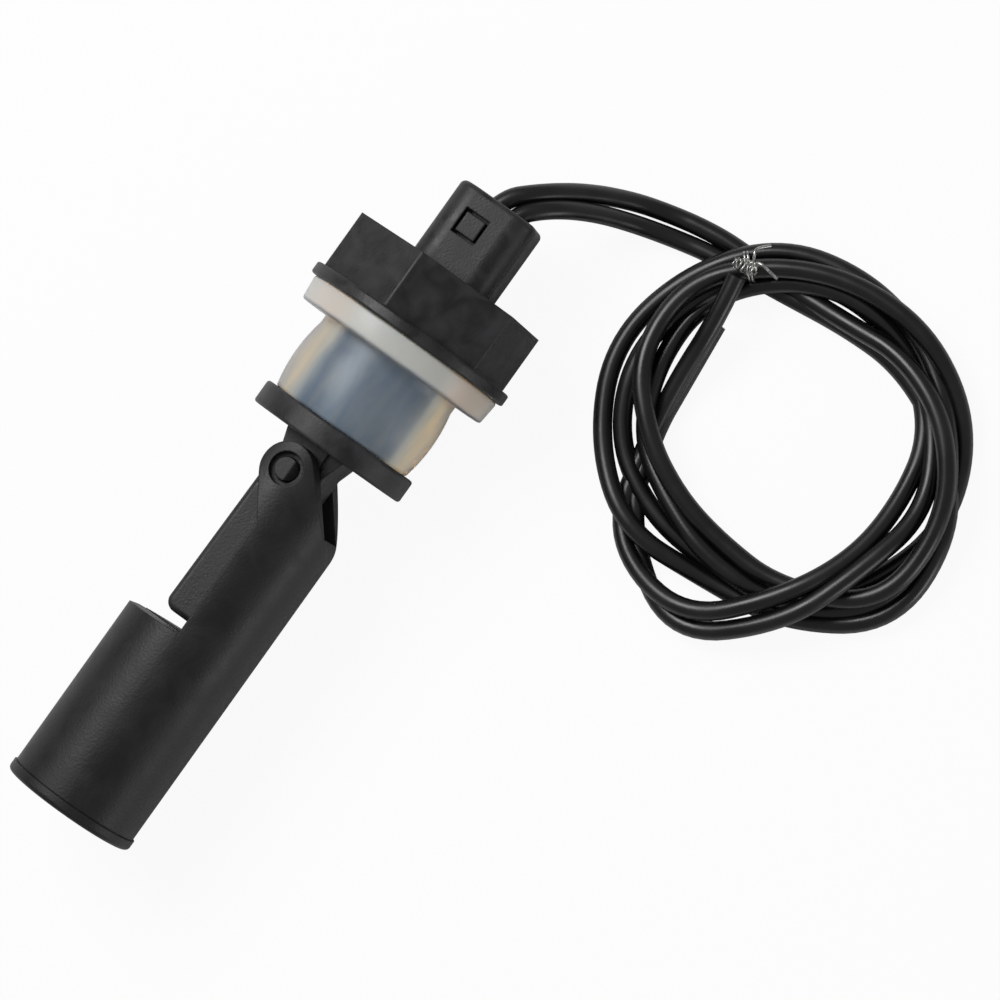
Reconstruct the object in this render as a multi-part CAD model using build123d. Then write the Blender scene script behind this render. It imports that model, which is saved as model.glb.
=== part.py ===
# Float level switch for the side of a tank. A reed switch sits in a fixed stem, and a
# float with a magnet swings on two pegs of that stem. A hex nut squeezes a soft bung
# against a disc, so that the bung swells in the hole of the tank wall.
# X = 0 is the outer face of the tank wall and +X runs into the tank along the switch's
# middle line. +Z runs along the float's pegs, and the float swings towards +Y.
# All sizes are in millimetres and all angles in degrees.
from build123d import *
import math
import os

# Stem body: threaded core through the wall, disc behind it, flat stem, two pegs
core_d = 14.5
disc_d = 22.4
disc_t = 3.2
disc_round = 0.4
stem_w = 7.5
stem_t = 8.0
stem_offset = -0.8
stem_reach = 22.95
stem_widening = 0.4
stem_corner = 1.5
stem_round = 0.8
flare_w = 0.6
flare_h = 1.8
rail_groove_w = 0.5
rail_groove_depth = 0.4
rail_w = 1.2
peg_d = 3.0
peg_offset = -1.1
peg_short = 0.5
peg_snap = 1.0
well_d = 8.0
well_depth = 21.2
reed_bore_d = 4.6
reed_bore_floor = 1.8

# Soft bung: flange outside the wall and barrel inside the hole
bung_flange_d = 28.1
bung_flange_t = 3.35
bung_flange_taper = 0.25
barrel_d = 20.1
barrel_bulge = 0.5
barrel_len = 10.9
barrel_straight = 2.1
bung_round = 0.4

# Clamp nut, seen turned a little about the thread
nut_flange_d = 29.5
nut_flange_t = 1.6
nut_flange_round = 0.3
hex_across = 24.4
hex_height = 8.1
hex_round = 0.5
nut_roll = 22.6
nut_lead_in = 0.8

# Cable shroud: two shells round a snap-in insert that holds the leads
shroud_w = 11.5
shroud_t = 11.0
shroud_len = 12.0
shroud_corner = 3.0
shroud_end_round = 0.8
shroud_sunk = 1.0
shroud_offset = 0.33
shroud_wall = 1.6
shroud_end_wall = 1.2
seam_z = 2.6
seam_groove = 0.3
tab_side = 2.75
window_gap = 0.42
window_from_end = 4.65
window_offset = -0.9

# Float: hollow cylinder below, fork with two ears above
float_d = 17.9
float_offset = -0.35
float_body_len = 26.1
float_wall = 1.5
shoulder_round = 0.6
cap_proud = 0.25
cap_t = 1.5
cap_round = 0.6
cap_spigot = 2.0
boss_r = 3.5
boss_gap = 1.05
swing_cut = 50.0
cut_round = 5.5
ear_edge_top = -0.2
ear_edge_end = 0.0
ear_edge_drop = 7.4
shoulder_rise = 0.5
slit = 2.1
web_top_drop = 4.6
eye_ring_d = 4.4
eye_ring_depth = 1.4

# Magnet in the fork's web, and the plug behind it
magnet_d = 3.0
magnet_len = 10.0
magnet_above = 4.4
plug_len = 3.0

# Reed switch and its wires
glass_d = 2.2
glass_wall = 0.3
glass_len = 14.0
glass_above = 5.3
glass_from_stem = 0.9
return_from_stem = -1.6
wire_d = 0.5
blade_w = 1.0
blade_t = 0.15
blade_lap = 1.0
wire_bend = 1.0
sleeve_d = 1.5
sleeve_len = 7.0
sleeve_from_well = 1.6
return_sleeve_d = 0.9
core_wire_d = 0.9
potting_len = 10.0

# Leads
lead_d = 2.5
lead_pitch = 2.7
lead_start = 5.95
lead_rest_gap = 0.05
layer_rise = 0.92

# Clearances
peg_gap = 0.08
thread_gap = 0.08
bung_bore_gap = 0.1
fork_gap = 0.3
web_gap = 0.4
snug = 0.05
fill_gap = 0.02

# Places along X that follow from the sizes
disc_x = barrel_len
stem_x = disc_x + disc_t
peg_x = stem_x + boss_gap + boss_r
stem_end = peg_x + stem_reach
shoulder_x = stem_end + slit
float_end = shoulder_x + float_body_len
shell_end = float_end - cap_t
cap_d = float_d + 2 * cap_proud
nut_flange_x = -bung_flange_t - nut_flange_t
nut_top = nut_flange_x - hex_height
core_top = nut_top + shroud_sunk
shroud_end = core_top - shroud_len
well_floor = core_top + well_depth
reed_bore_end = stem_end - reed_bore_floor
glass_end = stem_end - glass_above
glass_top = glass_end - glass_len
floor_z = -nut_flange_d / 2
glass_y = stem_offset + glass_from_stem
return_y = stem_offset + return_from_stem

# The leads' routes from the shroud to the coil, as points chosen by hand. The outer
# lead is the one that runs on the outside of the coil.
outer_y = shroud_offset - lead_pitch / 2
inner_y = shroud_offset + lead_pitch / 2
lead_in_x = shroud_end + lead_start
lead_floor_z = floor_z + lead_d / 2 + lead_rest_gap
outer_route = [
    (lead_in_x, outer_y, 0.0),
    (-24.5, outer_y, 0.0),
    (-29.4, 1.5, -3.2),
    (-32.5, 5.75, -7.1),
    (-34.6, 10.8, -11.2),
    (-36.2, 16.2, -13.35),
    (-37.3, 21.5, lead_floor_z),
    (-37.5, 25.3, lead_floor_z),
]
inner_route = [
    (lead_in_x, inner_y, 0.0),
    (-24.1, inner_y, 0.0),
    (-28.95, 4.2, -2.95),
    (-31.1, 8.7, -7.75),
    (-32.6, 13.5, -11.8),
    (-33.9, 18.6, lead_floor_z),
    (-34.9, 23.9, lead_floor_z),
]

# The coil of both leads: how far the middle of the pair is from the coil's middle at
# each of twelve hours, for each of three turns, going clockwise as seen from above
coil_middle = (-21.2, 44.5)
hour_zero = 215.7
hour_step = -30.0
turn_reach = [
    [19.7, 17.1, 18.3, 19.3, 19.3, 19.0, 19.5, 19.2, 18.2, 17.8, 17.8, 19.1],
    [20.6, 20.6, 20.9, 21.6, 23.2, 24.9, 22.3, 22.0, 20.9, 22.1, 22.3, 22.6],
    [22.3, 21.2, 21.1, 22.1, 20.6, 20.5, 20.7, 26.8, 23.0, 17.7, 15.0, 16.5],
]

# Wire tie round the coil, near hour zero
tie_hour = -0.3
tie_wire_d = 0.5
tie_turns = 2
tie_knot_d = 1.8
tie_tail_len = 4.4
tie_tail_turn = 55


def bar(start, end, diameter, y=0.0):
    """A round bar along X from start to end."""
    place = Plane((start, y, 0), x_dir=(0, 1, 0), z_dir=(1, 0, 0))
    shape = Cylinder(diameter / 2, end - start, align=(Align.CENTER, Align.CENTER, Align.MIN))
    return place * shape


def block(x0, x1, y0, y1, z0, z1):
    """A plain block between two corners."""
    shape = Box(x1 - x0, y1 - y0, z1 - z0, align=(Align.MIN, Align.MIN, Align.MIN))
    return Pos(x0, y0, z0) * shape


def turned(points):
    """A solid turned about the X axis from an outline of X and radius."""
    return revolve(make_face(Polyline(*points, close=True)), Axis.X, 360)


def route_radii(points):
    """The arc at each corner of a cord's route, as large as its two runs allow."""
    corners = [Vector(*p) for p in points]
    radii = []
    for before, here, after in zip(corners, corners[1:], corners[2:]):
        run_in = here - before
        run_out = after - here
        half_turn = math.radians(run_in.get_angle(run_out)) / 2
        radii.append(0.45 * min(run_in.length, run_out.length) / math.tan(half_turn))
    return radii


def tube(points, diameter):
    """A round cord or wire along straight runs joined by arcs, and its path's length."""
    path = FilletPolyline(*points, radius=route_radii(points))
    section = Plane(origin=path @ 0, z_dir=path % 0) * Circle(diameter / 2)
    return sweep(section, path=path), path.length


def stem_outline():
    """The flat stem from the disc down, with a flare at its root."""
    left = stem_offset - stem_w / 2
    right = stem_offset + stem_w / 2
    face = make_face(Polyline(
        (stem_x, left - flare_w),
        (stem_x + flare_h, left),
        (stem_end, left - stem_widening),
        (stem_end, right),
        (stem_x + flare_h, right),
        (stem_x, right + flare_w),
        close=True,
    ))
    ends = face.vertices().filter_by_position(Axis.X, stem_end - 0.1, stem_end + 0.1)
    return fillet(ends, stem_corner)


def pegs():
    """Two short pegs that the float's ears snap over, each with a slanted lead-in."""
    half = float_d / 2 - peg_short
    both = Pos(peg_x, peg_offset, 0) * Cylinder(peg_d / 2, 2 * half)
    side = peg_offset + peg_d / 2
    for up in (1, -1):
        wedge = Polyline(
            (0, side - peg_snap, up * half),
            (0, side, up * half),
            (0, side, up * (half - peg_snap)),
            close=True,
        )
        both -= extrude(make_face(wedge), peg_x + peg_d, dir=(1, 0, 0))
    return both


def stem_body():
    """One moulding: core, disc, stem and pegs, with a well for the joints and a bore."""
    disc = bar(disc_x, stem_x, disc_d)
    disc = fillet(disc.edges().filter_by(GeomType.CIRCLE), disc_round)
    stem = extrude(stem_outline(), stem_t / 2, both=True)
    stem = fillet(stem.edges().filter_by(Axis.X), stem_round)
    right = stem_offset + stem_w / 2
    for up in (1, -1):
        face_z = up * stem_t / 2
        low, high = sorted((face_z, face_z - up * rail_groove_depth))
        stem -= block(
            stem_x, peg_x + boss_r,
            right - rail_w - rail_groove_w, right - rail_w, low, high,
        )
    body = bar(core_top, disc_x, core_d) + disc + stem + pegs()
    body -= bar(core_top, well_floor, well_d)
    body -= bar(well_floor, reed_bore_end, reed_bore_d, y=stem_offset)
    return body


def bung():
    """Soft bung: flange, straight land for the wall, then a barrel that swells a little."""
    land_r = barrel_d / 2
    lip_r = bung_flange_d / 2 - bung_flange_taper
    bore_r = core_d / 2 + bung_bore_gap
    middle_x = (barrel_straight + barrel_len) / 2
    outline = [
        Line((-bung_flange_t, bore_r), (-bung_flange_t, bung_flange_d / 2)),
        Line((-bung_flange_t, bung_flange_d / 2), (0, lip_r)),
        Line((0, lip_r), (0, land_r)),
        Line((0, land_r), (barrel_straight, land_r)),
        ThreePointArc((barrel_straight, land_r), (middle_x, land_r + barrel_bulge),
                      (barrel_len, land_r)),
        Line((barrel_len, land_r), (barrel_len, bore_r)),
        Line((barrel_len, bore_r), (-bung_flange_t, bore_r)),
    ]
    face = make_face(outline)
    rim = [v for v in face.vertices() if v.Y > lip_r - 0.1]
    return revolve(fillet(rim, bung_round), Axis.X, 360)


def clamp_nut():
    """Flange nut with a plain running bore where the thread is."""
    flange = bar(nut_flange_x, -bung_flange_t, nut_flange_d)
    flange = fillet(flange.edges().filter_by(GeomType.CIRCLE), nut_flange_round)
    place = Plane((nut_top, 0, 0), x_dir=(0, 1, 0), z_dir=(1, 0, 0)) * Rot(0, 0, -nut_roll)
    hexagon = RegularPolygon(hex_across / 2, 6, major_radius=False)
    prism = place * extrude(hexagon, hex_height)
    corners = prism.edges().filter_by(Axis.X)
    prism = fillet(corners, hex_round)
    bore_r = core_d / 2 + thread_gap
    opening = turned([
        (nut_top, 0),
        (nut_top, bore_r + nut_lead_in),
        (nut_top + nut_lead_in, bore_r),
        (-bung_flange_t, bore_r),
        (-bung_flange_t, 0),
    ])
    return flange + prism - opening


def lead_space():
    """The room that both leads need on their way out of the shroud."""
    outer, _ = tube(outer_route, lead_d + 2 * snug)
    inner, _ = tube(inner_route, lead_d + 2 * snug)
    return outer + inner


def shroud_solid():
    """The whole shroud's outer shape and its inner cavity, before it is parted."""
    place = Plane((shroud_end, shroud_offset, 0), x_dir=(0, 1, 0), z_dir=(1, 0, 0))
    outer = place * extrude(RectangleRounded(shroud_w, shroud_t, shroud_corner), shroud_len)
    end_face = outer.faces().sort_by(Axis.X)[0]
    outer = fillet(end_face.edges(), shroud_end_round)
    cavity = block(
        shroud_end + shroud_end_wall, core_top,
        shroud_offset - shroud_w / 2 + shroud_wall, shroud_offset + shroud_w / 2 - shroud_wall,
        -shroud_t / 2 + shroud_wall, shroud_t / 2 - shroud_wall,
    )
    return outer - cavity - lead_space()


def half_space(z0, z1):
    """A block wide enough to part the shroud between two heights."""
    reach = shroud_w + shroud_t
    return block(shroud_end - 1, core_top + 1, -reach, reach, z0, z1)


def window_middle():
    """Where the snap tab shows on the shroud's front."""
    return shroud_end + window_from_end, shroud_offset + window_offset


def shroud_front():
    """Front shell with a square window for the insert's snap tab."""
    x, y = window_middle()
    half = tab_side / 2 + window_gap
    shell = shroud_solid() & half_space(seam_z + seam_groove / 2, shroud_t)
    return shell - block(x - half, x + half, y - half, y + half, 0, shroud_t)


def shroud_back():
    """Back shell with a tongue that keeps the seam's groove shallow."""
    shell = shroud_solid() & half_space(-shroud_t, seam_z - seam_groove / 2)
    place = Plane((shroud_end, shroud_offset, 0), x_dir=(0, 1, 0), z_dir=(1, 0, 0))
    lip_w = shroud_w - shroud_wall
    lip = place * extrude(
        RectangleRounded(lip_w, shroud_t - shroud_wall, shroud_corner - shroud_wall / 2),
        shroud_len,
    )
    lip = lip & half_space(seam_z - seam_groove / 2, seam_z + seam_groove / 2)
    lip = lip & shroud_solid()
    return shell + lip


def cable_insert():
    """Insert that grips both leads and snaps into the front shell's window."""
    x, y = window_middle()
    side_low = shroud_offset - shroud_w / 2 + shroud_wall + snug
    side_high = shroud_offset + shroud_w / 2 - shroud_wall - snug
    high = shroud_t / 2 - shroud_wall - snug
    front = shroud_end + shroud_end_wall + snug
    body = block(front, front + shroud_len / 2, side_low, side_high, -high, high)
    half = tab_side / 2
    body += block(x - half, x + half, y - half, y + half, 0, shroud_t / 2 - snug)
    for lead in (outer_y, inner_y):
        body -= bar(lead_in_x, core_top, core_wire_d + 2 * snug, y=lead)
    return body - lead_space()


def float_outline():
    """The float seen along its pegs: ears above, slit, full cylinder below."""
    left = float_offset - float_d / 2
    right = float_offset + float_d / 2
    swing = math.radians(swing_cut)
    # The slanted cut touches the boss and lies flat to the disc at the end of the swing.
    touch_x = peg_x - boss_r * math.cos(swing)
    touch_y = peg_offset + boss_r * math.sin(swing)
    outer_x = touch_x + (right - touch_y) * math.tan(swing)
    # The ears' other edge runs from the boss, which it touches too, down to the shoulder.
    across = ear_edge_top - peg_offset
    lean = math.atan2(across, ear_edge_drop)
    lean -= math.acos(boss_r / math.hypot(ear_edge_drop, across))
    ears = make_face(Polyline(
        (touch_x, touch_y),
        (outer_x, right),
        (shell_end, right),
        (shell_end, left),
        (shoulder_x, left),
        (shoulder_x - shoulder_rise, ear_edge_end),
        (peg_x + ear_edge_drop, ear_edge_top),
        (peg_x + boss_r * math.cos(lean), peg_offset + boss_r * math.sin(lean)),
        (peg_x, peg_offset),
        close=True,
    ))
    cut_end = [v for v in ears.vertices() if v.X < outer_x + 0.1 and v.Y > right - 0.1]
    ears = fillet(cut_end, cut_round)
    shoulder = [v for v in ears.vertices() if v.X < shoulder_x + 0.1 and v.Y < left + 0.1]
    ears = fillet(shoulder, shoulder_round)
    return ears + Pos(peg_x, peg_offset) * Circle(boss_r)


def float_shell():
    """Fork and hollow body in one moulding, open at the tip for the cap."""
    shell = extrude(float_outline(), float_d / 2, both=True)
    shell = shell & bar(0, shell_end, float_d, y=float_offset)
    slot = stem_t / 2 + fork_gap
    web_y = stem_offset + stem_w / 2 + web_gap
    shell -= block(0, shoulder_x, -float_d, web_y, -slot, slot)
    shell -= block(0, peg_x + web_top_drop, -float_d, float_d, -slot, slot)
    shell -= Pos(peg_x, peg_offset, 0) * Cylinder(peg_d / 2 + peg_gap, float_d)
    ring_z = float_d / 2 - eye_ring_depth
    for up in (1, -1):
        middle_z = up * (ring_z + eye_ring_depth)
        place = Pos(peg_x, peg_offset, middle_z)
        shell -= place * Cylinder(eye_ring_d / 2, 2 * eye_ring_depth)
    room_d = float_d - 2 * float_wall
    shell -= bar(shoulder_x + float_wall, shell_end, room_d, y=float_offset)
    shell -= bar(magnet_top() - snug, shell_end, magnet_d + 2 * snug, y=magnet_y())
    return shell


def magnet_y():
    """The magnet lies in the middle of the fork's web."""
    web_y = stem_offset + stem_w / 2 + web_gap
    return (web_y + float_offset + float_d / 2) / 2 - snug


def magnet_top():
    """The magnet's end that faces the pegs."""
    return shoulder_x - magnet_above - magnet_len


def float_cap():
    """End cap with a spigot inside the shell."""
    disc = bar(shell_end, float_end, cap_d, y=float_offset)
    tip = disc.edges().filter_by(GeomType.CIRCLE).sort_by(Axis.X)[-1]
    disc = fillet(tip, cap_round)
    spigot_d = float_d - 2 * float_wall - 2 * snug
    spigot = bar(shell_end - cap_spigot, shell_end, spigot_d, y=float_offset)
    hollow_d = spigot_d - 2 * float_wall
    hollow = bar(shell_end - cap_spigot, shell_end, hollow_d, y=float_offset)
    return disc + (spigot - hollow)


def reed_glass():
    """Sealed glass tube with a wire hole at each end."""
    glass = bar(glass_top, glass_end, glass_d, y=glass_y)
    glass = chamfer(glass.edges().filter_by(GeomType.CIRCLE), glass_d / 4)
    glass -= bar(glass_top + blade_w, glass_end - blade_w, glass_d - 2 * glass_wall, y=glass_y)
    return glass - bar(glass_top, glass_end, wire_d + 2 * fill_gap, y=glass_y)


def reed_blades():
    """Two springy blades that overlap in the glass, each with its own round wire."""
    middle = (glass_top + glass_end) / 2
    wire_top = well_floor - sleeve_from_well - sleeve_len / 2
    upper = bar(wire_top, glass_top + 2 * blade_w, wire_d, y=glass_y)
    upper += block(
        glass_top + 2 * blade_w - wire_d, middle + blade_lap / 2,
        glass_y, glass_y + blade_t, -blade_w / 2, blade_w / 2,
    )
    turn_x = (glass_end + reed_bore_end) / 2
    back = [
        (glass_end - 2 * blade_w, glass_y, 0),
        (turn_x, glass_y, 0),
        (turn_x, return_y, 0),
        (wire_top, return_y, 0),
    ]
    path = FilletPolyline(*back, radius=wire_bend)
    section = Plane(origin=path @ 0, z_dir=path % 0) * Circle(wire_d / 2)
    lower = sweep(section, path=path)
    lower += block(
        middle - blade_lap / 2, glass_end - 2 * blade_w + wire_d,
        glass_y - 2 * blade_t, glass_y - blade_t, -blade_w / 2, blade_w / 2,
    )
    return upper, lower


def return_sleeve():
    """Thin sleeve over the wire that comes back beside the glass."""
    sleeve = bar(glass_top - 2 * blade_w, glass_end, return_sleeve_d, y=return_y)
    return sleeve - bar(glass_top - 2 * blade_w, glass_end, wire_d + 2 * fill_gap, y=return_y)


def solder_sleeve(y):
    """Shrunk sleeve over the joint of a reed wire and a lead's copper core."""
    end = well_floor - sleeve_from_well
    joint = end - sleeve_len / 2
    sleeve = bar(end - sleeve_len, end, sleeve_d, y=y)
    sleeve -= bar(joint, end, wire_d + 2 * fill_gap, y=y)
    return sleeve - bar(end - sleeve_len, joint, core_wire_d + 2 * fill_gap, y=y)


def core_wire_path(lead, y):
    """A lead's copper core from the insert down to its joint in the well."""
    joint = well_floor - sleeve_from_well - sleeve_len / 2
    return [
        (lead_in_x, lead, 0),
        (core_top - shroud_sunk, lead, 0),
        (core_top + well_d / 2, y, 0),
        (joint - snug, y, 0),
    ]


def core_wire(lead, y, extra=0.0):
    """The copper core itself, or the space that it needs."""
    path = Polyline(*core_wire_path(lead, y))
    section = Plane(origin=path @ 0, z_dir=path % 0) * Circle(core_wire_d / 2 + extra)
    return sweep(section, path=path, transition=Transition.RIGHT)


def potting():
    """Resin that fills the well round both copper cores."""
    fill = bar(core_top, core_top + potting_len, well_d - 2 * fill_gap)
    fill -= core_wire(outer_y, return_y, fill_gap)
    return fill - core_wire(inner_y, glass_y, fill_gap)


def coil_point(hour, reach, z=0.0):
    """A point of the coil at an hour of its round, at some reach from its middle."""
    angle = math.radians(hour_zero + hour_step * hour)
    return (
        coil_middle[0] + reach * math.cos(angle),
        coil_middle[1] + reach * math.sin(angle),
        z,
    )


def coil_height():
    """Three turns lie on each other, each a little less than a lead higher."""
    return lead_d * (1 + 2 * layer_rise)


def coil_ring():
    """The outer shape of the coil: a closed ring as wide as its turns spread."""
    spread = lead_pitch / 2 + lead_d / 2
    hours = range(len(turn_reach[0]))
    outer = [coil_point(h, max(t[h] for t in turn_reach) + spread) for h in hours]
    inner = [coil_point(h, min(t[h] for t in turn_reach) - spread) for h in hours]
    outside = make_face(Spline(*outer, periodic=True))
    inside = make_face(Spline(*inner, periodic=True))
    ring = extrude(outside, coil_height()) - extrude(inside, coil_height())
    return Pos(0, 0, floor_z) * ring


def tie_frame():
    """A plane across the coil at the tie: x outwards, y up, z along the leads."""
    angle = hour_zero + hour_step * tie_hour
    outward = Vector(1, 0, 0).rotate(Axis.Z, angle)
    hour = round(tie_hour) % len(turn_reach[0])
    reach = [t[hour] for t in turn_reach] + [t[hour - 1] for t in turn_reach]
    middle = (max(reach) + min(reach)) / 2
    place = coil_point(tie_hour, middle, floor_z + coil_height() / 2)
    width = max(reach) - min(reach) + lead_pitch + lead_d
    return Plane(place, x_dir=outward, z_dir=outward.cross(Vector(0, 0, 1))), width


def coil_tie():
    """Turns of thin wire round the coil, with a knot and two tails on top."""
    plane, width = tie_frame()
    height = coil_height()
    wire = tie_wire_d / 2
    band = RectangleRounded(width, height - tie_wire_d, 2 * tie_wire_d)
    hole = RectangleRounded(width - 2 * tie_wire_d, height - 3 * tie_wire_d, tie_wire_d)
    loops = None
    for i in range(tie_turns):
        shift = (i - (tie_turns - 1) / 2) * (tie_wire_d + snug)
        loop = Pos(0, 0, shift) * extrude(band - hole, wire, both=True)
        loops = loop if loops is None else loops + loop
    knot_y = height / 2 + tie_wire_d
    knot = Pos(0, knot_y, 0) * Sphere(tie_knot_d / 2)
    tails = None
    for side in (1, -1):
        tail = Pos(0, knot_y, 0) * Rot(0, 90 + side * tie_tail_turn, 0) * Cylinder(
            wire, tie_tail_len, align=(Align.CENTER, Align.CENTER, Align.MIN)
        )
        tails = tail if tails is None else tails + tail
    return plane * (loops + knot + tails)


def lead_coil():
    """The coil's solid, with a groove all round where the tie lies."""
    plane, width = tie_frame()
    height = coil_height()
    deep = 3 * tie_wire_d + snug
    half = tie_turns * (tie_wire_d + snug) / 2 + snug
    outer = Rectangle(width + 8 * lead_d, height + 2 * lead_d)
    inner = Rectangle(width - 2 * tie_wire_d - 2 * snug, height - 2 * deep)
    groove = plane * extrude(outer - inner, half, both=True)
    return coil_ring() - groove


def write(name, shape):
    """One STEP file for each named node."""
    solids = shape.solids()
    if len(solids) == 1:
        shape = solids[0]
    export_step(shape, f"parts/{name}.step")
    print(name, "solids", len(solids), "volume", round(shape.volume, 2))


def main():
    os.makedirs("parts", exist_ok=True)
    blade_a, blade_b = reed_blades()
    outer_run, outer_len = tube(outer_route, lead_d)
    inner_run, inner_len = tube(inner_route, lead_d)
    for name, points, run, length in (
        ("lead_outer_run", outer_route, outer_run, outer_len),
        ("lead_inner_run", inner_route, inner_run, inner_len),
    ):
        print(name, "radii", [round(r, 1) for r in route_radii(points)])
        section = math.pi * lead_d**2 / 4
        print(name, "length", round(length, 1), "volume ratio",
              round(run.volume / (section * length), 4))
    nodes = {
        "stem_body": stem_body(),
        "seal_bung": bung(),
        "clamp_nut": clamp_nut(),
        "shroud_front": shroud_front(),
        "shroud_back": shroud_back(),
        "cable_insert": cable_insert(),
        "float_shell": float_shell(),
        "float_cap": float_cap(),
        "magnet": bar(magnet_top(), magnet_top() + magnet_len, magnet_d, y=magnet_y()),
        "magnet_plug": bar(
            magnet_top() + magnet_len + snug,
            magnet_top() + magnet_len + snug + plug_len, magnet_d, y=magnet_y(),
        ),
        "reed_glass": reed_glass(),
        "reed_blade_upper": blade_a,
        "reed_blade_lower": blade_b,
        "return_sleeve": return_sleeve(),
        "joint_sleeve_outer": solder_sleeve(return_y),
        "joint_sleeve_inner": solder_sleeve(glass_y),
        "core_wire_outer": core_wire(outer_y, return_y),
        "core_wire_inner": core_wire(inner_y, glass_y),
        "potting": potting(),
        "lead_outer_run": outer_run,
        "lead_inner_run": inner_run,
        "lead_coil": lead_coil(),
        "coil_tie": coil_tie(),
    }
    for name, shape in nodes.items():
        write(name, shape)


main()
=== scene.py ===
# %% [markdown]
# Float level switch for the side of a tank, dressed round its CAD frame.
# The frame brings every moulded part at its real size. This file adds what gives the real
# thing its look from a step away: a translucent bung, soft PVC leads in a loose coil, a
# twisted wire tie, and the surface of moulded polypropylene. Lengths are in metres, so a
# helper turns the millimetres that a maker thinks in.

# %% Tools and the frame
import math
import random

import bmesh
import bpy
from mathutils import Matrix, Vector


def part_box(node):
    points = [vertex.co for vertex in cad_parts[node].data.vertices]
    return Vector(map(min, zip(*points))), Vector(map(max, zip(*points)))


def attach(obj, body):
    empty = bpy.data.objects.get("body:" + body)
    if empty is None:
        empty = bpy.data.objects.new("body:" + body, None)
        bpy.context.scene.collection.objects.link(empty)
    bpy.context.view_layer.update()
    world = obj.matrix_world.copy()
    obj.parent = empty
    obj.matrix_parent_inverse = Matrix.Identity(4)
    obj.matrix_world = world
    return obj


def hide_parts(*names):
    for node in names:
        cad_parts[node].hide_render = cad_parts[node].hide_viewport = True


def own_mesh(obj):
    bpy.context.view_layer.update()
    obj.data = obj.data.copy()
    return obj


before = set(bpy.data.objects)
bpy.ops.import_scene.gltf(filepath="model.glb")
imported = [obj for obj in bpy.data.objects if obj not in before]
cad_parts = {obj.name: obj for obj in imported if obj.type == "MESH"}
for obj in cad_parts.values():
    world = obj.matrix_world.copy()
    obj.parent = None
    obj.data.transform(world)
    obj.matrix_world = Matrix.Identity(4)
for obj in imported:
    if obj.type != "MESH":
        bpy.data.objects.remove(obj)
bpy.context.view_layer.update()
MM = 0.001


def mm(*values):
    """Millimetres to metres, for one value or a point."""
    scaled = [v * MM for v in values]
    return scaled[0] if len(scaled) == 1 else Vector(scaled)


print("nodes in the frame:", len(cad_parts))

# %% [markdown]
# The camera looks down on the switch, which lies on its side, from ten degrees off the
# vertical. It is rolled so that the switch runs slantwise across the picture. A long lens
# keeps the hexagon and the float nearly free of perspective. Tilt, lean and roll are
# named angles, so that each can be set by itself.

# %% Camera
view_aim = mm(6.34, 21.75, 0.0)
view_distance = mm(598.9)
view_tilt = math.radians(9.86)
view_lean = math.radians(0.21)
view_roll = math.radians(125.49)
lens_mm = 171.75
sensor_mm = 36.0

camera_data = bpy.data.cameras.new("view_camera")
camera_data.lens = lens_mm
camera_data.sensor_width = sensor_mm
camera = bpy.data.objects.new("view_camera", camera_data)
turn = Matrix.Rotation(-view_tilt, 4, "X") @ Matrix.Rotation(view_lean, 4, "Y")
turn = turn @ Matrix.Rotation(view_roll, 4, "Z")
camera.matrix_world = Matrix.Translation(view_aim) @ turn @ Matrix.Translation((0, 0, view_distance))
bpy.context.scene.collection.objects.link(camera)
bpy.context.scene.camera = camera
print("camera at", [round(c, 4) for c in camera.matrix_world.translation])

# %% [markdown]
# Colours are written as hex values, as a paint or plastic supplier gives them. Blender
# mixes light in linear numbers, so one function turns each hex value before it is used.
# One more function adds a node, sets its values and joins its inputs, so each material
# below reads as a short recipe. Soft noise and a colour ramp come back in every recipe,
# so they have a helper each.


# %% Colour and node helpers
def linear(hex_value, alpha=1.0):
    """An sRGB hex colour as the linear numbers that shaders use."""
    parts = [int(hex_value[i:i + 2], 16) / 255 for i in (1, 3, 5)]
    flat = [c / 12.92 if c <= 0.04045 else ((c + 0.055) / 1.055) ** 2.4 for c in parts]
    return (*flat, alpha)


def add_node(material, kind, settings=None, values=None, links=None):
    """Add a node, set its own properties and input values, and link its inputs."""
    tree = material.node_tree
    node = tree.nodes.new(kind)
    for name, value in (settings or {}).items():
        setattr(node, name, value)
    for name, value in (values or {}).items():
        node.inputs[name].default_value = value
    for name, source in (links or {}).items():
        tree.links.new(source, node.inputs[name])
    return node


def new_material(name):
    """An empty material with only its output node, and that node."""
    material = bpy.data.materials.new(name)
    material.use_nodes = True
    material.node_tree.nodes.clear()
    return material, add_node(material, "ShaderNodeOutputMaterial")


def cloud(material, coordinates, size_mm, detail=3.0, distortion=0.0):
    """Soft noise whose lumps are about size_mm across."""
    values = {"Scale": 1.0 / mm(size_mm), "Detail": detail, "Distortion": distortion}
    return add_node(material, "ShaderNodeTexNoise", None, values, {"Vector": coordinates})


def steps(material, factor, stops):
    """A colour ramp from (place, linear colour) pairs."""
    ramp = add_node(material, "ShaderNodeValToRGB", None, None, {"Fac": factor})
    band = ramp.color_ramp
    for i, (place, colour) in enumerate(stops):
        element = band.elements[i] if i < 2 else band.elements.new(place)
        element.position = place
        element.color = colour
    return ramp


print("helpers ready")

# %% [markdown]
# The moulded parts are black polypropylene. It is matt, because the mould is lightly
# sparked, and a little cloudy, because the melt cools unevenly and thumbs polish it. The
# eye sees near black with a broad dull highlight. Base colour and roughness follow the
# same clouds, so that they agree, and a fine grain is laid over both as bump. The real
# grain is finer: it is drawn a third of a millimetre wide, so that it shows at all. The
# same recipe with other numbers gives every solid, opaque finish of this part, so it is
# one function.

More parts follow.
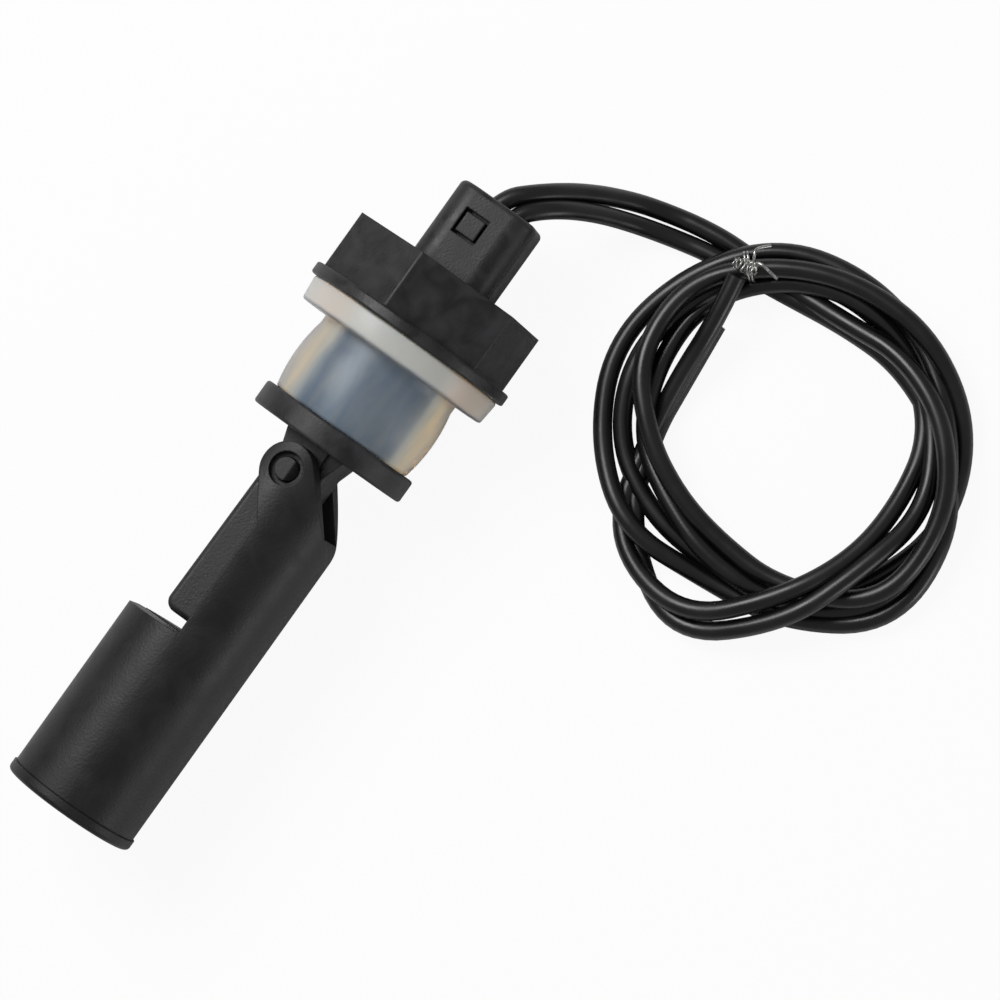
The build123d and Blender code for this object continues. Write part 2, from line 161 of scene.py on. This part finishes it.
# %% Cloudy finish
# Noise seldom leaves the middle third of its range, so that third spans tone and gloss.
tone_start, tone_end = 0.36, 0.68
gloss_start, gloss_end = 0.35, 0.68
bump_strength = 0.5
edge_samples = 6


def cloudy_finish(
    name, dark, pale, patch_mm, rough, grain_mm, grain_high_mm, values, edge_mm=0.0,
):
    """A solid finish: colour and gloss vary in clouds, with a fine grain as bump.

    The pair in rough is the least and the most roughness. With edge_mm, sharp edges
    shade as if they were rounded by that radius.
    """
    material, output = new_material(name)
    place = add_node(material, "ShaderNodeTexCoord").outputs["Object"]
    patches = cloud(material, place, patch_mm, detail=4.0, distortion=0.6)
    grain = cloud(material, place, grain_mm, detail=2.0)
    tone = steps(material, patches.outputs["Fac"], [
        (tone_start, linear(dark)),
        (tone_end, linear(pale)),
    ])
    gloss = add_node(material, "ShaderNodeMapRange", None, {
        "From Min": gloss_start, "From Max": gloss_end, "To Min": rough[0], "To Max": rough[1],
    }, {"Value": patches.outputs["Fac"]})
    bump = add_node(material, "ShaderNodeBump", None, {
        "Strength": bump_strength, "Distance": mm(grain_high_mm),
    }, {"Height": grain.outputs["Fac"]})
    if edge_mm:
        edge = add_node(material, "ShaderNodeBevel", {"samples": edge_samples}, {"Radius": mm(edge_mm)})
        material.node_tree.links.new(edge.outputs["Normal"], bump.inputs["Normal"])
    surface = add_node(material, "ShaderNodeBsdfPrincipled", None, values, {
        "Base Color": tone.outputs["Color"],
        "Roughness": gloss.outputs["Result"],
        "Normal": bump.outputs["Normal"],
    })
    material.node_tree.links.new(surface.outputs["BSDF"], output.inputs["Surface"])
    return material


# Polypropylene reflects little, and the sparked skin takes a fifth of that away.
# A mould's edges leave a radius of a few tenths of a millimetre, which catches the light.
sparked_skin = {"IOR": 1.49, "Specular IOR Level": 0.4}
moulded_edge = 0.3
# The head's copy of this finish is painted lighter than the float's. The lift is painted light: it
# stands for frontal light on the hexagon and the nut that the lamps do not give.
head_plastic_painted_light = cloudy_finish(
    "black_polypropylene", "#1c1c1d", "#2f2f31", patch_mm=3.0, rough=(0.38, 0.56),
    grain_mm=0.32, grain_high_mm=0.06, values=sparked_skin, edge_mm=moulded_edge,
)
float_plastic = cloudy_finish(
    "float_polypropylene", "#141415", "#1e1e1f", patch_mm=4.0, rough=(0.42, 0.52),
    grain_mm=0.36, grain_high_mm=0.06, values=sparked_skin, edge_mm=moulded_edge,
)
print("moulded plastics:", head_plastic_painted_light.name, float_plastic.name)

# %% [markdown]
# The bung is silicone, which is milky rather than clear: it scatters blue light back and
# lets yellow through. So it looks blue grey over the dark core behind it, and cream where
# only the white table is behind it. The surface scatters a fifth of the light in pale
# blue and passes the rest, and the volume takes blue and some green out of what passes.
# The flange is sparked by the mould and rubbed by the nut, so it scatters more, and in
# plain grey: a mask along X, soft over half a millimetre, sets both. The barrel's milk is
# drawn out in faint streaks along the way the mould was filled. A low IOR stands for the
# many small steps that light takes in the milk: it keeps the core's edges inside the
# barrel's, as in the photograph.

# %% Translucent silicone
streak_scale = (0.25, 1.0, 1.0)
streak_mm = 2.5
mask_start, mask_end = mm(-0.5), 0.0
flange_passes, barrel_passes = 0.4, 0.82
# A Mix node's colour sockets share their names with its number sockets, so they are
# taken by their places.
mix_flange, mix_barrel, mix_colour = 6, 7, 2

silicone, silicone_out = new_material("clear_silicone")
silicone_place = add_node(silicone, "ShaderNodeTexCoord").outputs["Object"]
along_barrel = add_node(silicone, "ShaderNodeMapping", None, {"Scale": streak_scale}, {
    "Vector": silicone_place,
})
silicone_cloud = cloud(silicone, along_barrel.outputs["Vector"], streak_mm, detail=4.0, distortion=0.4)
barrel_tone = steps(silicone, silicone_cloud.outputs["Fac"], [
    (0.35, linear("#b6d2f6")),
    (0.65, linear("#dcecff")),
])
silicone_axes = add_node(silicone, "ShaderNodeSeparateXYZ", None, None, {"Vector": silicone_place})
on_barrel = add_node(silicone, "ShaderNodeMapRange", None, {
    "From Min": mask_start, "From Max": mask_end, "To Min": 0.0, "To Max": 1.0,
}, {"Value": silicone_axes.outputs["X"]}).outputs["Result"]
silicone_tone = add_node(silicone, "ShaderNodeMix", {"data_type": "RGBA"})
silicone_tone.inputs[mix_flange].default_value = linear("#e6eae8")
silicone.node_tree.links.new(on_barrel, silicone_tone.inputs["Factor"])
silicone.node_tree.links.new(barrel_tone.outputs["Color"], silicone_tone.inputs[mix_barrel])
passing = add_node(silicone, "ShaderNodeMapRange", None, {
    "From Min": 0.0, "From Max": 1.0, "To Min": flange_passes, "To Max": barrel_passes,
}, {"Value": on_barrel})
silicone_skin = add_node(silicone, "ShaderNodeBsdfPrincipled", None, {
    "Roughness": 0.32,
    "IOR": 1.16,
    "Coat Weight": 0.8,
    "Coat Roughness": 0.35,
    "Coat IOR": 1.41,
}, {
    "Base Color": silicone_tone.outputs[mix_colour],
    "Transmission Weight": passing.outputs["Result"],
})
silicone_depth = add_node(silicone, "ShaderNodeVolumeAbsorption", None, {
    "Color": linear("#ffdc80"),
    "Density": 120.0,
})
silicone.node_tree.links.new(silicone_skin.outputs["BSDF"], silicone_out.inputs["Surface"])
silicone.node_tree.links.new(silicone_depth.outputs["Volume"], silicone_out.inputs["Volume"])
print("silicone passes", flange_passes, "of the light in the flange and", barrel_passes, "in the barrel")

# %% [markdown]
# The leads have a skin of soft PVC, extruded and so smooth along its length. Plasticiser
# leaves it satin, and the eye sees a long soft highlight with a duller patch here and
# there where fingers have been.

# %% Soft PVC
pvc = cloudy_finish(
    "pvc_insulation", "#0b0b0c", "#131314", patch_mm=7.0, rough=(0.28, 0.40),
    grain_mm=0.5, grain_high_mm=0.01, values={"IOR": 1.53, "Specular IOR Level": 0.5},
)
print("skin of the leads:", pvc.name)

# %% [markdown]
# Metals: the tie is soft tinned wire, drawn and then bent by hand, so it is bright with
# small dull kinks. The leads' cores are bare copper and the reed's blades are polished
# nickel iron. A metal's colour is its reflection, so the base colour carries it.

# %% Wire and core metals
bare_metal = {"Metallic": 1.0}
tie_metal = cloudy_finish(
    "tinned_tie_wire", "#8c8c8a", "#dededa", patch_mm=0.5, rough=(0.20, 0.42),
    grain_mm=0.2, grain_high_mm=0.01, values=bare_metal,
)
core_copper = cloudy_finish(
    "copper", "#a0613c", "#c8805a", patch_mm=0.8, rough=(0.25, 0.40),
    grain_mm=0.2, grain_high_mm=0.01, values=bare_metal,
)
blade_metal = cloudy_finish(
    "nickel_iron", "#8f8c86", "#b2afa8", patch_mm=1.0, rough=(0.18, 0.30),
    grain_mm=0.2, grain_high_mm=0.005, values=bare_metal,
)
print("metals:", tie_metal.name, core_copper.name, blade_metal.name)

# %% [markdown]
# Inside the stem: a drawn glass tube round the blades, clear with a green edge, shrunk
# polyolefin sleeves over the joints, dull and dark, and cast epoxy in the well, black and
# wet looking. In the float there is a sintered ferrite rod, grey and rough. The render
# doesn't show them, but a cutaway would, so each has its own finish.

# %% Glass, sleeves, resin and ferrite
tube_glass, tube_glass_out = new_material("reed_glass")
tube_place = add_node(tube_glass, "ShaderNodeTexCoord").outputs["Object"]
tube_cloud = cloud(tube_glass, tube_place, size_mm=3.0, detail=2.0)
tube_tone = steps(tube_glass, tube_cloud.outputs["Fac"], [
    (0.3, linear("#d3e6da")),
    (0.7, linear("#e0efe6")),
])
tube_skin = add_node(tube_glass, "ShaderNodeBsdfPrincipled", None, {
    "Roughness": 0.03, "IOR": 1.52, "Transmission Weight": 1.0,
}, {"Base Color": tube_tone.outputs["Color"]})
tube_glass.node_tree.links.new(tube_skin.outputs["BSDF"], tube_glass_out.inputs["Surface"])
sleeve = cloudy_finish(
    "shrink_sleeve", "#1a1a1a", "#272727", patch_mm=2.0, rough=(0.45, 0.60),
    grain_mm=0.3, grain_high_mm=0.02, values={"IOR": 1.5},
)
resin = cloudy_finish(
    "potting_resin", "#121212", "#1e1e1e", patch_mm=3.0, rough=(0.10, 0.25),
    grain_mm=0.6, grain_high_mm=0.01, values={"IOR": 1.55},
)
ferrite = cloudy_finish(
    "ferrite", "#2b2b2d", "#434346", patch_mm=1.5, rough=(0.55, 0.75),
    grain_mm=0.15, grain_high_mm=0.03, values={"IOR": 1.9},
)
print("inside finishes:", sleeve.name, resin.name, ferrite.name, tube_glass.name)

# %% [markdown]
# Each lead leaves the shroud, dips to the table and then goes about three times round the
# coil. A lead is one bendy line, so it is one NURBS curve: the curve never kinks, whatever
# the points are. The first points are the given route, in millimetres.
# The switch lies on its nut, which sets the height of the table.

# %% The leads' routes
lead_d = mm(2.5)
floor_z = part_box("clamp_nut")[0].z
lead_lies_mm = 1.3
lead_floor_mm = floor_z / MM + lead_lies_mm
outer_route = [
    (-18.1, -1.02, 0.0),
    (-24.3, -1.02, 0.0),
    (-28.4, 3.0, -1.3),
    (-32.1, 6.9, -6.2),
    (-34.9, 11.4, -11.4),
    (-36.4, 16.0, lead_floor_mm),
    (-37.3, 20.6, lead_floor_mm),
    (-37.7, 25.2, lead_floor_mm),
]
inner_route = [
    (-18.1, 1.68, 0.0),
    (-23.6, 1.68, 0.0),
    (-27.3, 5.0, -1.2),
    (-30.4, 8.8, -6.2),
    (-32.6, 13.2, -11.4),
    (-34.2, 18.6, lead_floor_mm),
    (-35.2, 23.6, lead_floor_mm),
]
print("route points:", len(outer_route), len(inner_route))

# %% [markdown]
# A coil that was wound over a hand and let go is loose, so its two leads part and cross.
# Its turns come from a loop over the hours of a clock. At each hour a lead has a reach,
# in millimetres from the coil's middle, and a layer that says how many leads lie under it
# there. Both were read off the photograph, the reach to half a millimetre. A lead settles
# a little between the ones below it, so a layer rises by less than a lead's thickness.

# %% The coil, hour by hour
coil_middle = mm(-21.2, 44.5, 0.0)
hours_per_turn = 12
hour_zero = math.radians(215.7)
hour_step = math.radians(-360.0 / hours_per_turn)
layer_rise = 0.92
outer_reach = [
    [20.0, 16.5, 18.0, 20.5, 23.0, 24.0, 19.0, 15.5, 15.0, 16.5, 20.0, 22.0],
    [21.0, 21.0, 22.0, 23.0, 23.0, 21.5, 21.0, 18.0, 16.5, 17.5, 18.0, 19.5],
    [19.5, 19.5, 19.0, 19.0, 20.0, 20.0, 23.5, 27.5, 22.0, 16.5, 14.5, 16.5],
]
outer_layer = [
    [0.0, 0.8, 1.8, 2.3, 2.0, 1.3, 0.9, 1.0, 1.4, 2.0, 2.0, 1.8],
    [2.0, 2.0, 1.7, 0.5, 0.0, 0.0, 0.4, 1.0, 0.8, 0.5, 0.8, 0.6],
    [1.0, 1.0, 0.4, 0.3, 1.0, 2.0, 1.9, 0.0, 0.0, 0.0, 0.3, 0.9],
]
inner_reach = [
    [18.5, 16.0, 17.0, 19.5, 24.0, 26.5, 23.0, 20.5, 22.5, 23.0, 24.0, 23.5],
    [23.5, 22.0, 21.0, 21.0, 23.0, 24.5, 21.5, 18.5, 19.0, 20.5, 21.0, 20.5],
    [20.5, 19.5, 18.5, 18.0, 17.0, 18.0, 20.5, 25.5, 24.0, 17.0, 15.0, 16.5],
]
inner_layer = [
    [0.0, 0.0, 0.0, 0.1, 0.9, 0.2, 0.0, 0.2, 1.0, 0.4, 0.4, 0.8],
    [1.0, 1.0, 1.0, 1.2, 1.0, 0.4, 0.0, 0.0, 0.2, 0.3, 0.9, 1.0],
    [0.2, 0.0, 0.0, 0.1, 0.7, 1.6, 2.2, 1.0, 0.2, 0.0, 0.9, 2.2],
]
inner_end = (35.5, 20.5, 2.8)


def coil_point(hour, reach, layer):
    """A point of the coil: clock hour, millimetres from the middle, and layer."""
    angle = hour_zero + hour_step * hour
    lift = mm(lead_floor_mm) + layer * layer_rise * lead_d
    return coil_middle + Vector((mm(reach) * math.cos(angle), mm(reach) * math.sin(angle), lift))


def coil_turns(reaches, layers):
    """One point at each hour of each turn."""
    flat_reach = [reach for turn in reaches for reach in turn]
    flat_layer = [layer for turn in layers for layer in turn]
    hours = range(len(flat_reach))
    return [coil_point(h, r, up) for h, r, up in zip(hours, flat_reach, flat_layer)]


print("coil hours:", hours_per_turn * len(outer_reach))

# %% [markdown]
# A smooth line of order 3 passes a little inside its control points, as a rubber band
# would: at each point it misses by an eighth of how far the two neighbours pull. The
# readings are of the line itself, so each point of the coil is first pushed out by as
# much as the line would miss it, but never down into the table.


# %% Control points from readings
def pushed_out(points):
    """Control points whose smooth line passes through the points given."""
    moved = list(points)
    for i in range(1, len(points) - 1):
        line = (points[i - 1] + 6 * points[i] + points[i + 1]) / 8
        moved[i] = 2 * points[i] - line
        moved[i].z = max(moved[i].z, mm(lead_floor_mm))
    return moved


def lead_points(route, turns):
    """The control points of one lead: its listed route, then its turns."""
    by_hand = [mm(*p) for p in route]
    return by_hand + pushed_out([by_hand[-1]] + turns)[1:]


outer_points = lead_points(outer_route, coil_turns(outer_reach, outer_layer))
inner_points = lead_points(inner_route, coil_turns(inner_reach, inner_layer) + [coil_point(*inner_end)])
print("control points:", len(outer_points), len(inner_points))

# %% [markdown]
# A curve with a round bevel is a cord at once: its spline holds the control points, and
# the bevel gives it the lead's thickness. A tube of faces would have to be bent by hand.
# The length is measured on the same line without its bevel, as a maker would lay a
# thread along the lead.


# %% Cords from points
def make_cord(name, points, diameter, round_steps=7, line_steps=10):
    """A round cord on one NURBS spline."""
    data = bpy.data.curves.new(name, "CURVE")
    data.dimensions = "3D"
    data.bevel_depth = diameter / 2
    data.bevel_resolution = round_steps
    data.resolution_u = line_steps
    data.use_fill_caps = True
    spline = data.splines.new("NURBS")
    spline.points.add(len(points) - 1)
    for control, point in zip(spline.points, points):
        control.co = (*point, 1.0)
    spline.order_u = 3
    spline.use_endpoint_u = True
    cord = bpy.data.objects.new(name, data)
    cord.data.materials.append(pvc)
    bpy.context.scene.collection.objects.link(cord)
    return cord


def line_of(cord):
    """The points of a cord's own smooth line, read from its spline."""
    bare = cord.copy()
    bare.data = cord.data.copy()
    bare.data.bevel_depth = 0.0
    bpy.context.scene.collection.objects.link(bare)
    mesh = bpy.data.meshes.new_from_object(bare.evaluated_get(bpy.context.evaluated_depsgraph_get()))
    points = [v.co.copy() for v in mesh.vertices]
    bpy.data.objects.remove(bare)
    return points


def length_of(points):
    """The length along a row of points."""
    return sum((b - a).length for a, b in zip(points, points[1:]))


lead_outer = make_cord("lead_outer", outer_points, lead_d)
lead_inner = make_cord("lead_inner", inner_points, lead_d)
outer_line = line_of(lead_outer)
inner_line = line_of(lead_inner)
outer_length = length_of(outer_line)
inner_length = length_of(inner_line)
print("lead lengths", round(outer_length, 3), round(inner_length, 3))

# %% [markdown]
# The table is a white board that fills the view, and the light is a dim room with two
# large soft lamps. Together they light a flat white surface to nearly white, so each
# colour renders close to how it is written. The camera sees most of the board by its own
# glow, which gives the photograph's clean ground, and the rest by real light, which keeps
# a faint shadow. A ray that has passed through the bung sees the same glow.

# %% Table, lamps and room
table_half = 1.6
glow_seen = 0.93
room_light = 0.28
bm = bmesh.new()
bmesh.ops.create_grid(bm, x_segments=1, y_segments=1, size=table_half)
bmesh.ops.translate(bm, verts=bm.verts, vec=(0, 0, floor_z))
table_mesh = bpy.data.meshes.new("table")
bm.to_mesh(table_mesh)
bm.free()
table = bpy.data.objects.new("table", table_mesh)
bpy.context.scene.collection.objects.link(table)

board, board_out = new_material("white_board")
board_skin = add_node(board, "ShaderNodeBsdfPrincipled", None, {
    "Base Color": linear("#f4f4f4"), "Roughness": 0.8,
})
board_glow = add_node(board, "ShaderNodeEmission", None, {"Color": linear("#ffffff"), "Strength": 1.0})
rays = add_node(board, "ShaderNodeLightPath")
seen = add_node(board, "ShaderNodeMath", {"operation": "MAXIMUM"})
board.node_tree.links.new(rays.outputs["Is Camera Ray"], seen.inputs[0])
board.node_tree.links.new(rays.outputs["Is Transmission Ray"], seen.inputs[1])
glow_share = add_node(board, "ShaderNodeMath", {"operation": "MULTIPLY"})
board.node_tree.links.new(seen.outputs["Value"], glow_share.inputs[0])
glow_share.inputs[1].default_value = glow_seen
board_mix = add_node(board, "ShaderNodeMixShader", None, None, {"Fac": glow_share.outputs["Value"]})
board.node_tree.links.new(board_skin.outputs["BSDF"], board_mix.inputs[1])
board.node_tree.links.new(board_glow.outputs["Emission"], board_mix.inputs[2])
board.node_tree.links.new(board_mix.outputs["Shader"], board_out.inputs["Surface"])
table.data.materials.append(board)


def soft_lamp(name, place_mm, aim_mm, size_mm, power):
    """A square soft lamp at a place, turned to face a point."""
    data = bpy.data.lights.new(name, "AREA")
    data.size = mm(size_mm)
    data.energy = power
    lamp = bpy.data.objects.new(name, data)
    lamp.location = mm(*place_mm)
    lamp.rotation_euler = (mm(*aim_mm) - lamp.location).to_track_quat("-Z", "Y").to_euler()
    bpy.context.scene.collection.objects.link(lamp)
    return lamp


key_lamp = soft_lamp(
    "key_lamp", place_mm=(-60, -240, 400), aim_mm=(0, 10, 0), size_mm=230, power=1.5,
)
fill_lamp = soft_lamp(
    "fill_lamp", place_mm=(40, 470, 75), aim_mm=(0, 20, 0), size_mm=150, power=0.3,
)

room = bpy.data.worlds.new("room")
room.use_nodes = True
room.node_tree.nodes["Background"].inputs["Color"].default_value = linear("#ffffff")
room.node_tree.nodes["Background"].inputs["Strength"].default_value = room_light
bpy.context.scene.world = room
bpy.context.scene.view_settings.view_transform = "Standard"
print("lamps:", key_lamp.name, fill_lamp.name, "and a table at", round(floor_z, 4))

# %% [markdown]
# The moulded parts keep their CAD meshes, which already have the true edges and holes.
# They take their finishes here, the ones inside too.

# %% Finishes on the CAD parts
finish_of = {
    head_plastic_painted_light: ["stem_body", "clamp_nut", "shroud_front", "shroud_back", "cable_insert"],
    float_plastic: ["float_shell", "float_cap", "magnet_plug"],
    tube_glass: ["reed_glass"],
    blade_metal: ["reed_blade_upper", "reed_blade_lower"],
    core_copper: ["core_wire_outer", "core_wire_inner"],
    sleeve: ["return_sleeve", "joint_sleeve_outer", "joint_sleeve_inner"],
    resin: ["potting"],
    ferrite: ["magnet"],
}
for material, names in finish_of.items():
    for name in names:
        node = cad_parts[name]
        node.data.materials.clear()
        node.data.materials.append(material)
print("dressed", sum(len(names) for names in finish_of.values()), "CAD parts")

# %% [markdown]
# A round piece such as the bung can be turned: one outline is spun about the switch's
# middle line. A spin with its ends merged gives one closed skin, which a transparent
# solid needs. Its rounded lips are short runs of points on quarter circles.

# %% Turned pieces
weld_gap = 1e-7


def link_mesh(name, bm, material):
    """Turn a bmesh into a piece with smooth faces and one material."""
    mesh = bpy.data.meshes.new(name)
    bm.to_mesh(mesh)
    bm.free()
    for face in mesh.polygons:
        face.use_smooth = True
    piece = bpy.data.objects.new(name, mesh)
    piece.data.materials.append(material)
    bpy.context.scene.collection.objects.link(piece)
    return piece


def spun(name, outline, material, segments=128):
    """Spin an outline of (X, radius) in metres about the X axis into a closed skin."""
    bm = bmesh.new()
    ring = [bm.verts.new((x, r, 0.0)) for x, r in outline]
    for a, b in zip(ring, ring[1:] + ring[:1]):
        bm.edges.new((a, b))
    bmesh.ops.spin(
        bm, geom=bm.verts[:] + bm.edges[:], cent=(0, 0, 0), axis=(1, 0, 0),
        angle=math.tau, steps=segments, use_merge=True,
    )
    bmesh.ops.remove_doubles(bm, verts=bm.verts, dist=weld_gap)
    bmesh.ops.recalc_face_normals(bm, faces=bm.faces)
    return link_mesh(name, bm, material)


def rounded(x, r, radius, start, end, count=5):
    """Points on a quarter round with its middle at x and r, from one angle to another."""
    spread = [math.radians(start + (end - start) * i / count) for i in range(count + 1)]
    return [(x + radius * math.cos(a), r + radius * math.sin(a)) for a in spread]


print("turning helpers ready")

# %% [markdown]
# The bung is one moulding: a flange outside the tank wall, and a barrel in its hole up to
# the disc. Silicone is soft, so its lips are rounded and the barrel bellies out. Its
# length and its flange come from the frame. When the nut is tightened it squeezes the
# bung towards the disc.

# %% Silicone bung
bung_low, bung_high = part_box("seal_bung")
flange_x = bung_low.x
flange_r = bung_high.y
barrel_end = bung_high.x
land_r = mm(20.1 / 2)
bore_r = mm(14.7 / 2)
belly_start = mm(1.2)
belly = mm(0.5)
lip = mm(0.4)
flange_taper = mm(0.25)
bore_lip = mm(0.25)
belly_count = 14
belly_points = []
for i in range(1, belly_count):
    share = i / belly_count
    # The bow is nothing at both ends of the barrel and one in the middle.
    bow = 4 * share * (1 - share)
    belly_points.append((belly_start + share * (barrel_end - lip - belly_start), land_r + belly * bow))
outline = (
    rounded(flange_x + bore_lip, bore_r + bore_lip, bore_lip, 270, 180, 3)
    + rounded(flange_x + lip, flange_r - lip, lip, 180, 90)
    + rounded(-lip, flange_r - flange_taper - lip, lip, 90, 0)
    + rounded(lip / 2, land_r + lip / 2, lip / 2, 180, 270, 3)
    + [(belly_start, land_r)]
    + belly_points
    + rounded(barrel_end - lip, land_r - lip, lip, 90, 0)
    + rounded(barrel_end - bore_lip, bore_r + bore_lip, bore_lip, 360, 270, 3)
)
bung = spun("silicone_bung", outline, silicone)
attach(bung, "head")
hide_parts("seal_bung")
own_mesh(bung)
print("bung from", round(flange_x, 4), "to", round(barrel_end, 4))

# %% [markdown]
# The tie is one thin tinned wire. It goes twice round the bundle, its ends are twisted
# together on top into a small rough knot, and two tails stick out of it. Wire holds the
# bend it is given, so its lines are NURBS curves with a round bevel, like the leads. Each
# band is a box of four sides round the bundle, and the curve rounds its corners.


# %% Wire tie
def wire_line(curve, points, closed=False, thin=1.0):
    """Add one bent wire to a curve, through control points in metres."""
    spline = curve.splines.new("NURBS")
    spline.points.add(len(points) - 1)
    for control, point in zip(spline.points, points):
        control.co = (*point, 1.0)
        control.radius = thin
    spline.order_u = 3
    spline.use_cyclic_u = closed
    spline.use_endpoint_u = not closed


tie_curve = bpy.data.curves.new("wire_tie", "CURVE")
tie_curve.dimensions = "3D"
tie_wire_r = mm(0.2)
tie_curve.bevel_depth = tie_wire_r
tie_curve.bevel_resolution = 3
tie_curve.resolution_u = 6
tie_curve.use_fill_caps = True
tie_hour = -0.35
band_inner, band_outer = 19.9, 23.6
band_layers = (-0.35, 2.5)
band_pitch = 2.2
band_thin = 0.8
side_shares = (0.12, 0.5, 0.88)
for shift in (-0.5, 0.5):
    corners = [
        (band_inner, band_layers[0]), (band_outer, band_layers[0]),
        (band_outer, band_layers[1]), (band_inner, band_layers[1]),
    ]
    along = Vector((math.sin(hour_zero), -math.cos(hour_zero), 0.0)) * tie_wire_r * band_pitch * shift
    band = []
    for (r1, up1), (r2, up2) in zip(corners, corners[1:] + corners[:1]):
        for share in side_shares:
            reach = r1 + (r2 - r1) * share
            band.append(coil_point(tie_hour, reach, up1 + (up2 - up1) * share) + along)
    wire_line(tie_curve, band, closed=True, thin=band_thin)
print("tie bands:", len(tie_curve.splines))

# %% [markdown]
# The knot is three strands of the wire that wind round one short line, uneven as a twist
# made with pliers is: thick in the middle, thin at its ends and a little different at
# every step. The wander comes from a seeded random number, so that it is the same at
# every run. The two tails are a few listed points each.

# %% Knot and tails
wander = random.Random(7)
knot_middle = mm(-35.8, 28.9, -6.1)
knot_along = Vector((-0.28, 1.0, 0.0)).normalized()
knot_across = Vector((knot_along.y, -knot_along.x, 0.0))
knot_up = Vector((0, 0, 1))
knot_strands = 3
knot_turns = 7
knot_len = mm(3.0)
knot_wide = mm(0.95)
knot_high = mm(0.65)
knot_thin = 0.6
strand_lean = 0.9
end_swell, middle_swell = 0.55, 0.4
swell_wander = (-0.25, 0.15)
drift_wander = (-0.08, 0.08)
steps_per_turn = 8
for strand in range(knot_strands):
    winding = []
    for i in range(knot_turns * steps_per_turn + 1):
        share = i / (knot_turns * steps_per_turn)
        angle = math.tau * (i / steps_per_turn + strand / knot_strands)
        swell = end_swell + middle_swell * math.sin(math.pi * share) + wander.uniform(*swell_wander)
        drift = wander.uniform(*drift_wander)
        winding.append(
            knot_middle + knot_along * knot_len * (share - 0.5 + drift)
            + knot_across * knot_wide * swell * math.cos(angle + strand * strand_lean)
            + knot_up * knot_high * swell * math.sin(angle)
        )
    wire_line(tie_curve, winding, thin=knot_thin)
tail_up = [
    mm(-36.6, 29.6, -6.1),
    mm(-37.3, 29.3, -5.5),
    mm(-38.1, 28.8, -5.5),
    mm(-38.9, 29.1, -6.0),
    mm(-39.8, 30.0, -6.6),
]
tail_down = [
    mm(-36.6, 29.6, -6.0),
    mm(-37.1, 30.1, -5.3),
    mm(-37.0, 31.4, -5.3),
    mm(-36.7, 33.3, -5.6),
]
wire_line(tie_curve, tail_up)
wire_line(tie_curve, tail_down)
tie = bpy.data.objects.new("wire_tie", tie_curve)
tie.data.materials.append(tie_metal)
bpy.context.scene.collection.objects.link(tie)
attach(tie, "head")
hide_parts("coil_tie")
print("tie wires:", len(tie_curve.splines))

# %% [markdown]
# The two leads are free cords, limp, with their far ends bare, as sold for wiring up.
# Each hangs from the head and replaces the plain CAD tubes that stood for it, which are
# hidden.

# %% Leads attached
leads = ((lead_outer, outer_line, outer_length), (lead_inner, inner_line, inner_length))
for cord, line, length in leads:
    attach(cord, "head")
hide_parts("lead_outer_run", "lead_coil")
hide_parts("lead_inner_run")
